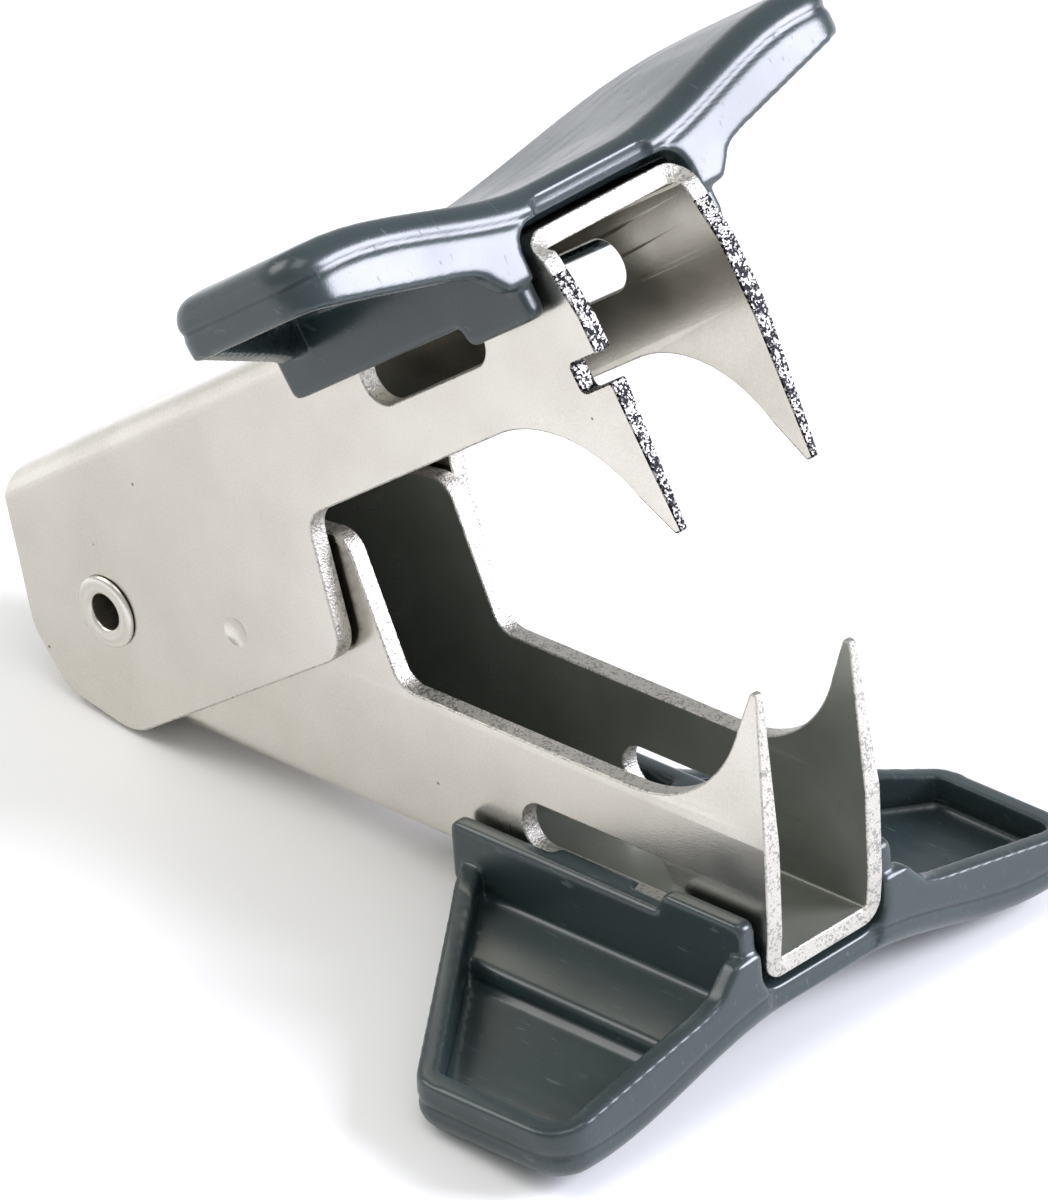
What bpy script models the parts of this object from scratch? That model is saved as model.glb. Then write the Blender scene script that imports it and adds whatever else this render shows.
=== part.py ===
"""A claw staple remover: two nested steel channels on one rivet, each with a moulded finger grip.

Each jaw is drawn in its own frame: the pivot is the origin, +X runs along the web towards the fangs,
and `outward` is the distance from the pivot towards the web. The upper jaw is the wide, outer channel.
The object stands open, on the two ends of its lower grip and on the rear corner of the lower jaw.
All lengths below are in millimetres; the scene is in metres.
"""
import math

import bmesh
import bpy
from mathutils import Matrix, Vector

MM = 0.001

# Where an outline's two directions and its thickness point, one column each
PLANES = {"XY": Matrix.Identity(4), "XZ": Matrix(((1, 0, 0, 0), (0, 0, 1, 0), (0, 1, 0, 0), (0, 0, 0, 1))),
          "YZ": Matrix(((0, 0, 1, 0), (1, 0, 0, 0), (0, 1, 0, 0), (0, 0, 0, 1)))}

# Pose
OPENING = 33.2          # degrees between the two webs
REST_TILT = 6.85        # degrees the lower web rises towards the front
PIVOT_AT = (-20.92, 0.0, 7.52)

# Sheet steel
SHEET = 1.15
BEND = 1.4              # outer radius of the two bends
UPPER = {"width": 12.0, "web": 9.5}
LOWER = {"width": 9.1, "web": 7.1}
WEB_FRONT = 49.0
JAW_ENDS = (-12.0, 54.0)  # the folded strip is this long before the blank's outline trims it
WALL_DEPTH = 9.1        # web's outer face to the straight inner edge
THROAT_X = {"outer": 20.9, "inner": 22.0}
FANG_ARC = (39.6, 8.3)  # where the arc starts, and its radius
FANG_DEPTH = 17.7
TIP_THICKNESS = 0.5
GRIND = (8.6, 36)       # depth the fangs are ground thin from, and where along the jaw that begins
BEYOND = 2.0            # how far a cutter stands past what it cuts
SLOT = (31.0, 42.2, 2.3, 5.3)     # x from, x to, depth from, depth to
NOTCH = (47.9, 7.2, 8.9)          # back of the notch, depth from, depth to
DIMPLE = (10.1, -3.9, 0.9, 0.25)  # x, outward, radius, how deep

# Pivot
SHANK_R, BORE_R, HEAD_R = 1.7, 1.1, 2.2
HEAD_GAP, HEAD_HIGH = 0.08, 0.36  # clear of the ear, and how far the head stands out
PIN_HOLE_R, ROUND_STEPS = 1.78, 48
WIRE_R, COIL_R, TURNS, COIL_PITCH = 0.5, 3.2, 3, 1.3
LEG_TIP = 15.6          # how far along each web the spring's legs reach

# Grips, with q counted outwards from the web's outer face
GRIP_FRONT, GRIP_REAR, GRIP_HALF = 49.3, 27.4, 21.0
GRIP_MIDDLE = 39.5      # the saddle's rings close in on this point
SADDLE = (2.35, 5.1)    # q of the top at the middle and at the ends
EDGE_R = 1.4
SKIN = 1.35             # thickness of skirt and top
PARTING = 1.75          # below the top
FOOT_Q, LEG_Q, TOE_Q, RIM_Q = -2.3, -3.0, -4.2, -0.75
WING_FROM = 11.4        # the thin wings begin this far from the middle
LIP = (33.5, 39.5, 0.75)  # snap lip: x from, x to, how far it stands in
LEG_FROM, TOE_FROM = 26.6, 42.6
LEG_T, FIT = 1.2, 0.3


def smooth(t):
    t = min(max(t, 0.0), 1.0)
    return t * t * (3 - 2 * t)


def top_q(y):
    return SADDLE[0] + (SADDLE[1] - SADDLE[0]) * smooth((abs(y) - 3) / 15)


def rounded(points, step=12):
    """(x, y, radius) corners to a closed outline, each corner an arc of short chords."""
    out = []
    for i, (x, y, r) in enumerate(points):
        here = Vector((x, y))
        if not r:
            out.append(here)
            continue
        back = (Vector(points[i - 1][:2]) - here).normalized()
        ahead = (Vector(points[(i + 1) % len(points)][:2]) - here).normalized()
        half = back.angle(ahead) / 2
        centre = here + (back + ahead).normalized() * (r / math.sin(half))
        first = here + back * (r / math.tan(half)) - centre
        last = here + ahead * (r / math.tan(half)) - centre
        turn = first.angle_signed(last)
        n = max(3, round(abs(math.degrees(turn)) / step))
        for k in range(n + 1):
            a = -turn * k / n
            out.append(centre + Matrix.Rotation(a, 2) @ first)
    return out


def arc(cx, cy, r, a0, a1, n):
    return [(cx + r * math.cos(math.radians(a)), cy + r * math.sin(math.radians(a)), 0)
            for a in (a0 + (a1 - a0) * k / n for k in range(n + 1))]


def new_object(name, bm, material, group):
    bmesh.ops.remove_doubles(bm, verts=bm.verts, dist=1e-7)
    bmesh.ops.recalc_face_normals(bm, faces=bm.faces)
    mesh = bpy.data.meshes.new(name)
    bm.to_mesh(mesh)
    bm.free()
    obj = bpy.data.objects.new(name, mesh)
    group.objects.link(obj)
    if material:
        mesh.materials.append(material)
    return obj


def prism(name, outline, plane, low, high, material=None, group=None):
    """A flat outline, filled as a curve and given its thickness from low to high across its plane."""
    curve = bpy.data.curves.new(name, "CURVE")
    curve.dimensions, curve.fill_mode, curve.extrude = "2D", "BOTH", abs(high - low) / 2 * MM
    line = curve.splines.new("POLY")
    line.use_cyclic_u = True
    line.points.add(len(outline) - 1)
    for point, spot in zip(line.points, outline):
        point.co = (spot[0] * MM, spot[1] * MM, 0, 1)
    drawn = bpy.data.objects.new(name, curve)
    bm = bmesh.new()
    bm.from_mesh(bpy.data.meshes.new_from_object(drawn))
    bpy.data.objects.remove(drawn)
    bm.transform(PLANES[plane] @ Matrix.Translation((0, 0, (high + low) / 2 * MM)))
    return new_object(name, bm, material, group or cutters)


def disc(x, z, r, n=ROUND_STEPS):
    return [(x + r * math.cos(math.tau * k / n), z + r * math.sin(math.tau * k / n)) for k in range(n)]


def boolean(target, cutter, operation="DIFFERENCE"):
    cutter.hide_render = True
    cutter.display_type = "WIRE"
    cutter.parent = target
    modifier = target.modifiers.new(cutter.name, "BOOLEAN")
    modifier.operation, modifier.solver, modifier.object = operation, "EXACT", cutter


def steel_or_plastic(name, colour, metallic, roughness):
    material = bpy.data.materials.new(name)
    material.use_nodes = True
    shader = material.node_tree.nodes["Principled BSDF"]
    shader.inputs["Base Color"].default_value = (*colour, 1)
    shader.inputs["Metallic"].default_value = metallic
    shader.inputs["Roughness"].default_value = roughness
    material.diffuse_color = (*colour, 1)
    return material


def pose(obj, upper):
    angle = REST_TILT + (OPENING if upper else 0)
    obj.location = Vector(PIVOT_AT) * MM
    obj.rotation_euler = (0, math.radians(-angle), 0)


# Jaws

def jaw_outline(web, up):
    """Side view of one blank as (x, z), with the web's outer face at z = web on the `up` side."""
    fx, fr = FANG_ARC
    inner = web - WALL_DEPTH
    tip = web - FANG_DEPTH
    fang = arc(fx, inner - fr, fr, 88, 16, 11)
    if up > 0:
        rear = [(-3.5, web, 2.5), (-7.15, 0.9, 1.5), (-6.9, -3.2, 3.0), (-3.0, -7.1, 3.5)]
        ear = [(18.0, -7.5, 2.0), (THROAT_X["outer"], inner, 1.8)]
        front = [(48.75, tip, 0.2), (49.3, tip, 0.2), (50.35, web - 9.4, 3.0), (50.5, web - 5.0, 3.0),
                 (49.9, web - 1.6, 1.2), (WEB_FRONT, web, 0)]
    else:
        rear = [(-6.1, web, 2.8), (-7.6, 1.2, 1.5)] + arc(0, 0, 7.6, 186, 232, 5)
        ear = [(0.2, -8.1, 1.5), (18.6, -10.4, 1.6), (THROAT_X["inner"], inner, 1.5)]
        front = [(48.55, tip, 0.2), (49.05, tip, 0.2), (49.6, web - 8.5, 3.0), (49.4, web - 3.0, 3.0),
                 (WEB_FRONT, web, 0)]
    outline = rounded(rear + ear + fang + front)
    return [(p[0], p[1] * up) for p in outline]


def channel_section(width, web, up):
    """Cross-section of the folded sheet as (y, z), open on the side away from the web."""
    half, far = width / 2, -14.0
    outer = [(-half, far, 0), (-half, web, BEND), (half, web, BEND), (half, far, 0)]
    inner = [(half - SHEET, far, 0), (half - SHEET, web - SHEET, BEND - SHEET),
             (SHEET - half, web - SHEET, BEND - SHEET), (SHEET - half, far, 0)]
    return [(p[0], p[1] * up) for p in rounded(outer + inner)]


def jaw(name, size, up, material):
    width, web = size["width"], size["web"]
    half = width / 2
    body = prism(name, channel_section(width, web, up), "YZ", *JAW_ENDS, material, pieces)
    across = (-half - BEYOND, half + BEYOND)
    boolean(body, prism(name + "_blank", jaw_outline(web, up), "XZ", *across), "INTERSECT")
    x0, x1, d0, d1 = SLOT
    slot = rounded([(x, up * (web - d), 1.48) for x, d in ((x0, d0), (x1, d0), (x1, d1), (x0, d1))], 15)
    boolean(body, prism(name + "_windows", slot, "XZ", *across))
    boolean(body, prism(name + "_pin_holes", disc(0, 0, PIN_HOLE_R), "XZ", *across))
    for side in (-1, 1):
        # The fangs are ground thin from outside, from just past the arc to the tip.
        start, end = web - GRIND[0], web - FANG_DEPTH - 1
        thin = (SHEET - TIP_THICKNESS) * (start - end) / (FANG_DEPTH - GRIND[0])
        wedge = [(side * (half + 1), start), (side * half, start), (side * (half - thin), end),
                 (side * (half + 1), end)]
        wedge = [(y, up * z) for y, z in wedge]
        boolean(body, prism(f"{name}_grind_{'near' if side < 0 else 'far'}", wedge, "YZ", GRIND[1],
                            JAW_ENDS[1]))
    if up > 0:
        back, n0, n1 = NOTCH
        notch = rounded([(back, web - n0, 0.35), (back, web - n1, 0.35), (JAW_ENDS[1], web - n1, 0),
                         (JAW_ENDS[1], web - n0, 0)])
        boolean(body, prism(name + "_notch", notch, "XZ", -half - 1, -half + SHEET + 0.5))
        dx, dz, dr, deep = DIMPLE
        for side in (-1, 1):
            low, high = sorted((side * (half - deep), side * (half + 1)))
            where = "near" if side < 0 else "far"
            boolean(body, prism(f"{name}_dimple_{where}", disc(dx, dz, dr, 24), "XZ", low, high))
    pose(body, up > 0)
    return body


# Pivot

def rivet(material):
    """A tubular rivet: half its section turned round Y, with a low head rolled over outside each ear."""
    face = UPPER["width"] / 2 + HEAD_GAP
    top = face + HEAD_HIGH
    head = [(SHANK_R, face), (HEAD_R, face), (HEAD_R, top - 0.16), (HEAD_R - 0.16, top),
            (BORE_R + 0.22, top), (BORE_R, top - 0.2)]
    section = bmesh.new()
    ring = [section.verts.new((r * MM, y * MM, 0)) for r, y in [(r, -y) for r, y in head] + head[::-1]]
    for here, after in zip(ring, ring[1:] + ring[:1]):
        section.edges.new((here, after))
    obj = new_object("pivot_rivet", section, material, pieces)
    turn = obj.modifiers.new("turn", "SCREW")
    turn.axis, turn.steps, turn.render_steps = "Y", ROUND_STEPS, ROUND_STEPS
    turn.use_merge_vertices, turn.merge_threshold, turn.use_smooth_shade = True, 0.00001, True
    pose(obj, False)
    return obj


def spring(material):
    """Coil round the rivet, with one leg under each web."""
    low_z = -(LOWER["web"] - SHEET - WIRE_R - FIT)
    high_z = UPPER["web"] - SHEET - WIRE_R - FIT
    open_ = math.radians(OPENING)
    total = math.tau * TURNS + math.pi - open_
    span = COIL_PITCH * total / math.tau
    points = [(LEG_TIP, -span / 2, low_z), (LEG_TIP * 0.62, -span / 2, low_z + 0.1),
              (2.2, -span / 2, -COIL_R - 0.35), (1.0, -span / 2, -COIL_R - 0.06)]
    n = 20 * TURNS + 9
    for k in range(n + 1):
        a = -math.pi / 2 - total * k / n
        points.append((COIL_R * math.cos(a), -span / 2 + span * k / n, COIL_R * math.sin(a)))
    upper_leg = ((1.0, COIL_R + 0.06), (2.2, COIL_R + 0.35), (LEG_TIP * 0.62, high_z - 0.1),
                 (LEG_TIP, high_z))
    for x, z in upper_leg:
        points.append((x * math.cos(open_) - z * math.sin(open_), span / 2,
                       x * math.sin(open_) + z * math.cos(open_)))
    curve = bpy.data.curves.new("torsion_spring", "CURVE")
    curve.dimensions = "3D"
    curve.bevel_depth, curve.bevel_resolution, curve.use_fill_caps = WIRE_R * MM, 2, True
    line = curve.splines.new("POLY")
    line.points.add(len(points) - 1)
    for point, spot in zip(line.points, points):
        point.co = (*(Vector(spot) * MM), 1)
    curve.materials.append(material)
    obj = bpy.data.objects.new("torsion_spring", curve)
    pieces.objects.link(obj)
    pose(obj, False)
    return obj


# Grips

def grip_plan(inset=0.0):
    corners = [(GRIP_FRONT, -GRIP_HALF, 2.4), (GRIP_FRONT, GRIP_HALF, 2.4), (38.4, GRIP_HALF + 0.2, 2.2),
               (GRIP_REAR, 6.2, 3.0), (GRIP_REAR, -6.2, 3.0), (38.4, -GRIP_HALF - 0.2, 2.2)]
    line = rounded(corners)
    fine = []
    for i, here in enumerate(line):
        after = line[(i + 1) % len(line)]
        n = max(1, round((after - here).length / 1.5))
        fine += [here.lerp(after, k / n) for k in range(n)]
    normals = []
    for i in range(len(fine)):
        along = (fine[(i + 1) % len(fine)] - fine[i - 1]).normalized()
        normals.append(Vector((along.y, -along.x)))
    return [p - n * inset for p, n in zip(fine, normals)]


def grip_solid(name, material, flip):
    """The grip before it is hollowed, as stacked rings: skirt, parting groove, rolled edge, saddle top."""
    def ring(inset, height, scale=1.0):
        centre = Vector((GRIP_MIDDLE, 0))
        spots = [centre + (p - centre) * scale for p in grip_plan(inset)]
        return [(p.x, p.y, height(p.y)) for p in spots]

    levels = [ring(0.15, lambda y: -6.0), ring(0.02, lambda y: top_q(y) - PARTING - 0.9),
              ring(0.0, lambda y: top_q(y) - PARTING - 0.11), ring(0.12, lambda y: top_q(y) - PARTING),
              ring(0.0, lambda y: top_q(y) - PARTING + 0.11)]
    for a in (0, 18, 36, 54, 72, 90):
        c, s = math.cos(math.radians(a)), math.sin(math.radians(a))
        levels.append(ring(EDGE_R * (1 - c), lambda y, s=s: top_q(y) - EDGE_R * (1 - s)))
    for scale in (0.93, 0.82, 0.68, 0.52, 0.35, 0.17):
        levels.append(ring(EDGE_R, top_q, scale))
    bm = bmesh.new()
    rows = [[bm.verts.new(Vector((x, y, flip(q))) * MM) for x, y, q in level] for level in levels]
    n = len(rows[0])
    for low, high in zip(rows, rows[1:]):
        for k in range(n):
            bm.faces.new((low[k], low[(k + 1) % n], high[(k + 1) % n], high[k]))
    bm.faces.new(list(reversed(rows[0])))
    middle = bm.verts.new(Vector((GRIP_MIDDLE, 0, flip(top_q(0)))) * MM)
    for k in range(n):
        bm.faces.new((rows[-1][k], rows[-1][(k + 1) % n], middle))
    return new_object(name, bm, material, pieces)


def grip(name, size, up, material):
    web, half = size["web"], size["width"] / 2 + FIT

    def flip(q):
        return up * (web + q)

    def outline(points, step=12):
        return [(p[0], flip(p[1])) for p in rounded(points, step)]

    body = grip_solid(name, material, flip)

    # Hollow on the channel's side: a seat over the web, a step, then the thin wings.
    ys = [WING_FROM + k * (GRIP_HALF + BEYOND - WING_FROM) / 8 for k in range(9)]
    wing = [(y, top_q(y) - SKIN, 0) for y in ys]
    floor = [(half + 0.2, FIT, 0), (half + 0.5, 0.9, 0), (10.9, 1.35, 0)] + wing
    section = floor + [(ys[-1], -8, 0), (-ys[-1], -8, 0)] + [(-y, q, r) for y, q, r in reversed(floor)]
    hollow = prism(name + "_hollow", outline(section), "YZ", 20, 56)
    plan = prism(name + "_hollow_plan", grip_plan(SKIN), "XY", flip(-9), flip(9))
    boolean(hollow, plan, "INTERSECT")
    boolean(body, hollow)

    # The skirt's lower edge, with a foot on each side of the channel.
    side = [(half + 1.9, FOOT_Q, 0.5), (half + 3.3, RIM_Q, 1.6), (half + 4.6, RIM_Q + 0.4, 2.0),
            (20.0, 1.75, 6.0), (25, 2.1, 0)]
    edge = side + [(25, -9, 0), (-25, -9, 0)] + [(-y, q, r) for y, q, r in reversed(side)]
    boolean(body, prism(name + "_rim", outline(edge), "YZ", 20, 56))
    rear = [(-25, -9, 0), (-25, RIM_Q, 0), (25, RIM_Q, 0), (25, -9, 0)]
    boolean(body, prism(name + "_rim_rear", outline(rear), "YZ", 20, 40))

    # The gap the channel passes through, front and rear.
    gap = rounded([(-half, -9, 0), (-half, 0.62, 1.5), (half, 0.62, 1.5), (half, -9, 0)])
    gap = [(p[0], flip(p[1])) for p in gap]
    boolean(body, prism(name + "_gap_front", gap, "YZ", GRIP_FRONT - SKIN - 0.7, 56))
    boolean(body, prism(name + "_gap_rear", gap, "YZ", 20, GRIP_REAR + SKIN + 0.7))
    panel = outline([(-4.4, -2, 0), (-4.4, 1.5, 0.3), (4.4, 1.5, 0.3), (4.4, -2, 0)])
    boolean(body, prism(name + "_front_panel", panel, "YZ", GRIP_FRONT - 0.4, 56))

    # Legs along the channel's walls, each with a snap lip that enters the window.
    leg = outline([(LEG_FROM, 1.55, 0), (LEG_FROM, LEG_Q, 0.5), (TOE_FROM, LEG_Q, 0.4),
                   (TOE_FROM + 0.2, TOE_Q, 0.5), (GRIP_FRONT - 0.5, TOE_Q, 0.5),
                   (GRIP_FRONT - 0.5, 1.55, 0)])
    x0, x1, stands = LIP
    lip = outline([(x0, LEG_Q + 0.05, 0), (x0, LEG_Q + 0.5, 0.1), (x1, LEG_Q + 0.5, 0.1),
                   (x1, LEG_Q + 0.05, 0)])
    for s in (-1, 1):
        where = "near" if s < 0 else "far"
        low, high = sorted((s * half, s * (half + LEG_T)))
        boolean(body, prism(f"{name}_leg_{where}", leg, "XZ", low, high), "UNION")
        low, high = sorted((s * (half - stands), s * (half + 0.5)))
        boolean(body, prism(f"{name}_lip_{where}", lip, "XZ", low, high), "UNION")
    pose(body, up > 0)
    return body


for leftover in list(bpy.data.objects):
    bpy.data.objects.remove(leftover)

pieces = bpy.data.collections.new("staple_remover")
cutters = bpy.data.collections.new("cutters")
for group in (pieces, cutters):
    bpy.context.scene.collection.children.link(group)
cutters.hide_render = True

outer_nickel = steel_or_plastic("outer_nickel", (0.60, 0.57, 0.53), 1.0, 0.32)
inner_nickel = steel_or_plastic("inner_nickel", (0.58, 0.55, 0.51), 1.0, 0.32)
rivet_steel = steel_or_plastic("rivet_steel", (0.50, 0.49, 0.47), 1.0, 0.30)
spring_steel = steel_or_plastic("spring_steel", (0.20, 0.19, 0.18), 1.0, 0.35)
upper_plastic = steel_or_plastic("upper_plastic", (0.035, 0.040, 0.046), 0.0, 0.30)
lower_plastic = steel_or_plastic("lower_plastic", (0.035, 0.040, 0.046), 0.0, 0.30)

jaw("upper_jaw", UPPER, 1, outer_nickel)
jaw("lower_jaw", LOWER, -1, inner_nickel)
rivet(rivet_steel)
spring(spring_steel)
grip("upper_grip", UPPER, 1, upper_plastic)
lower_grip = grip("lower_grip", LOWER, -1, lower_plastic)

# Two small lands where the lower grip stands on the table.
table = prism("lower_grip_lands", [(-60, -60), (60, -60), (60, 60), (-60, 60)], "XY", -6, 0)
boolean(lower_grip, table)
table.matrix_parent_inverse = Matrix.LocRotScale(
    lower_grip.location, lower_grip.rotation_euler, None).inverted()
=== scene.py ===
# %% [markdown]
# # A claw staple remover
# The real tool is two nested channels of nickel-plated sheet steel on one tubular rivet, with a
# torsion spring round the rivet that holds the mouth open and a moulded finger grip on each
# channel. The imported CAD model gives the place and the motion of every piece. This script makes
# the same pieces again with the detail the eye looks for: folded sheet with sheared edges, a
# rolled rivet, drawn wire, and plastic with soft moulded corners.

# %% Load the frame
import math

import bmesh
import bpy
import numpy as np
from mathutils import Matrix, Vector


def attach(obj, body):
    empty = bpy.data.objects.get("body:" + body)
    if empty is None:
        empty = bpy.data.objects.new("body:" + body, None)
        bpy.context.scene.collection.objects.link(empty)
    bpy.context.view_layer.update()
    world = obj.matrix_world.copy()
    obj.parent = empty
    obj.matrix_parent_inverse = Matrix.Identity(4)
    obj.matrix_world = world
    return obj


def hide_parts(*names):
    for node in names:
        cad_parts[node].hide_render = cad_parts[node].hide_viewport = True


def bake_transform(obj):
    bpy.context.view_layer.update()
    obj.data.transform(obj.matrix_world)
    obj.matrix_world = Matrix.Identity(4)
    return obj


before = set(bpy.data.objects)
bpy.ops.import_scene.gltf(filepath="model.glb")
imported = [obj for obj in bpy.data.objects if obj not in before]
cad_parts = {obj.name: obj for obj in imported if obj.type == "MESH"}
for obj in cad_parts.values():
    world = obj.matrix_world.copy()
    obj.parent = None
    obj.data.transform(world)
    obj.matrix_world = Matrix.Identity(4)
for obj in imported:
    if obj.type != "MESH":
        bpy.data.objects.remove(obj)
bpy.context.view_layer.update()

# %% [markdown]
# ## The two frames everything is drawn in
# A jaw is easiest to draw lying flat: the pivot at the origin, X along its web towards the fangs,
# and Z outwards. The tool stands open and tipped back a little, so each jaw is drawn flat and
# turned into place once. The place goes into the mesh itself, and the object stays at the origin.

# %% Sizes in millimetres, and the turn of each jaw
MM = 0.001
PIVOT = Vector((-20.92, 0.0, 7.52)) * MM
LOWER_TURN = 6.85
OPENING = 33.2
SHEET, BEND = 1.15, 1.4
UPPER = {"width": 12.0, "web": 9.5, "up": 1, "turn": LOWER_TURN + OPENING}
LOWER = {"width": 9.1, "web": 7.1, "up": -1, "turn": LOWER_TURN}


def turned_by(degrees):
    """From a jaw's own flat frame in metres to the standing tool."""
    return Matrix.Translation(PIVOT) @ Matrix.Rotation(math.radians(-degrees), 4, "Y")


print("upper jaw turned", UPPER["turn"], "degrees, lower jaw", LOWER["turn"])

# %% [markdown]
# ## Small helpers
# One function adds a node, with its settings and its links, to a material or to a Geometry Nodes
# tree. One turns a hex colour, as a paint chart gives it, into the linear numbers that the shader
# wants. Two more hand over a finished mesh as an object that stands at the origin.

# %% Helpers
def add(tree, kind, inputs=None, **settings):
    """Adds a node. A value in inputs is either a number or another node's output socket."""
    made = tree.nodes.new(kind)
    for name, value in settings.items():
        setattr(made, name, value)
    for name, value in (inputs or {}).items():
        if isinstance(value, bpy.types.NodeSocket):
            tree.links.new(value, made.inputs[name])
        else:
            made.inputs[name].default_value = value
    return made


def linear(hex_colour):
    """An sRGB hex colour as linear RGBA."""
    parts = [int(hex_colour[i:i + 2], 16) / 255 for i in (1, 3, 5)]
    return (*(c / 12.92 if c <= 0.04045 else ((c + 0.055) / 1.055) ** 2.4 for c in parts), 1.0)


def show(name, mesh, material_list=()):
    """Puts a finished mesh in the scene, its object at the origin."""
    obj = bpy.data.objects.new(name, mesh)
    bpy.context.scene.collection.objects.link(obj)
    for material in material_list:
        mesh.materials.append(material)
    return obj


def applied(obj):
    """The same object with its modifiers worked into its mesh."""
    graph = bpy.context.evaluated_depsgraph_get()
    mesh = bpy.data.meshes.new_from_object(obj.evaluated_get(graph), preserve_all_data_layers=True,
                                           depsgraph=graph)
    obj.modifiers.clear()
    obj.data = mesh
    mesh.name = obj.name
    return obj


print("white is", linear("#ffffff"), "and mid grey is", linear("#808080"))

# %% [markdown]
# ## Camera, floor and light
# The tool is seen from the front right and from above, through a long lens, so its lines hardly
# converge. It stands on a pale floor under a pale sky. A broad soft panel beyond the open mouth
# puts the pale sheen on the front of the grips, and two more round the shapes off.

# %% Camera
AIM = Vector((5.68, 0.0, 18.22)) * MM
AZIMUTH, ELEVATION, ROLL = 43.4, 33.9, 1.25
DISTANCE = 597.6 * MM
LENS, SENSOR = 375.0, 36.0
NEAREST, FARTHEST = 0.05, 20.0


def direction(azimuth, elevation):
    """A unit vector towards a compass bearing, with 0 at -Y and 90 at +X."""
    a, e = math.radians(azimuth), math.radians(elevation)
    return Vector((math.sin(a) * math.cos(e), -math.cos(a) * math.cos(e), math.sin(e)))


lens = bpy.data.cameras.new("camera")
lens.sensor_fit, lens.sensor_width, lens.lens = "HORIZONTAL", SENSOR, LENS
lens.clip_start, lens.clip_end = NEAREST, FARTHEST
camera = bpy.data.objects.new("camera", lens)
bpy.context.scene.collection.objects.link(camera)
towards = direction(AZIMUTH, ELEVATION)
camera.location = AIM + towards * DISTANCE
camera.rotation_mode = "QUATERNION"
camera.rotation_quaternion = (-towards).to_track_quat("-Z", "Y") @ Matrix.Rotation(
    math.radians(ROLL), 3, "Z").to_quaternion()
bpy.context.scene.camera = camera
print("camera at", [round(1000 * c, 1) for c in camera.location], "mm")

# %% Floor, sky and lights
SKY_STRENGTH, FLOOR_HALF = 0.62, 1.5

bpy.context.scene.view_settings.view_transform = "Standard"
world = bpy.data.worlds.new("pale_sky")
bpy.context.scene.world = world
world.use_nodes = True
background = world.node_tree.nodes["Background"]
background.inputs["Color"].default_value = linear("#f6f7fa")
background.inputs["Strength"].default_value = SKY_STRENGTH

floor_mesh = bpy.data.meshes.new("floor")
grow = bmesh.new()
bmesh.ops.create_grid(grow, x_segments=8, y_segments=8, size=FLOOR_HALF)
grow.to_mesh(floor_mesh)
grow.free()
floor = show("floor", floor_mesh)


def soft_panel(name, azimuth, elevation, distance, size, power, colour="#ffffff"):
    """A square soft light that faces the tool."""
    lamp = bpy.data.lights.new(name, "AREA")
    lamp.energy, lamp.size, lamp.color = power, size, linear(colour)[:3]
    obj = bpy.data.objects.new(name, lamp)
    bpy.context.scene.collection.objects.link(obj)
    back = direction(azimuth, elevation)
    obj.location = AIM + back * distance
    obj.rotation_mode = "QUATERNION"
    obj.rotation_quaternion = back.to_track_quat("Z", "Y")
    return obj


soft_panel("panel_beyond_mouth", azimuth=133, elevation=28, distance=0.55, size=0.25, power=4.8,
           colour="#eeefff")
soft_panel("panel_overhead", azimuth=20, elevation=78, distance=0.60, size=0.30, power=0.7)
soft_panel("panel_near_side", azimuth=-60, elevation=38, distance=0.70, size=0.40, power=2.0,
           colour="#fffdf8")

# %% [markdown]
# ## Finish: pale floor
# A matt sprayed board. Only a trace of mottling keeps it from being a flat colour.

# %% Floor finish
def finish(name, colour, metallic, roughness):
    """A material with one Principled shader. Returns the material, its tree and the shader."""
    material = bpy.data.materials.new(name)
    material.use_nodes = True
    tree = material.node_tree
    shader = tree.nodes["Principled BSDF"]
    shader.inputs["Base Color"].default_value = linear(colour)
    shader.inputs["Metallic"].default_value = metallic
    shader.inputs["Roughness"].default_value = roughness
    material.diffuse_color = linear(colour)
    return material, tree, shader


def per_mm(size):
    """A noise scale whose features are about `size` millimetres across."""
    return 1.0 / (size * MM)


MIX_FACTOR, MIX_FIRST, MIX_SECOND, MIX_COLOUR = 0, 6, 7, 2


def blended(tree, factor, first, second):
    """A colour between two others, as an output socket."""
    mix = add(tree, "ShaderNodeMix", {MIX_FACTOR: factor, MIX_FIRST: first, MIX_SECOND: second},
              data_type="RGBA")
    return mix.outputs[MIX_COLOUR]


def ranged(tree, value, low, high, to_low, to_high, how="LINEAR"):
    """A value stretched from one range to another, as an output socket."""
    stretch = add(tree, "ShaderNodeMapRange", {"Value": value, "From Min": low, "From Max": high,
                                               "To Min": to_low, "To Max": to_high},
                  interpolation_type=how)
    return stretch.outputs["Result"]


board, tree, shader = finish("matt_sprayed_board", "#f4f4f3", 0.0, 0.85)
place = add(tree, "ShaderNodeTexCoord")
mottle = add(tree, "ShaderNodeTexNoise",
             {"Vector": place.outputs["Object"], "Scale": per_mm(40)})
tint = blended(tree, mottle.outputs["Fac"], linear("#f6f6f5"), linear("#f1f1f0"))
tree.links.new(tint, shader.inputs["Base Color"])
floor.data.materials.append(board)
print("floor finish:", board.name)

# %% [markdown]
# ## Finish: satin nickel plate
# The blanks are cold-rolled steel, tumbled to take the burrs off and then plated with nickel a
# few thousandths of a millimetre thick. Nickel is a slightly warm grey. Tumbling leaves a fine
# matt grain, which blurs reflections without hiding them, and a stray pit here and there. Grain
# is finer than the eye resolves at this distance, so it is drawn about 0.12 mm across.

# %% Satin nickel, outside the channels
GRAIN, CLOUD, PIT_SPACING = 0.12, 5.0, 3.6
PIT_CORE, PIT_RIM, PIT_DEEP = 0.015, 0.035, 0.02


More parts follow.
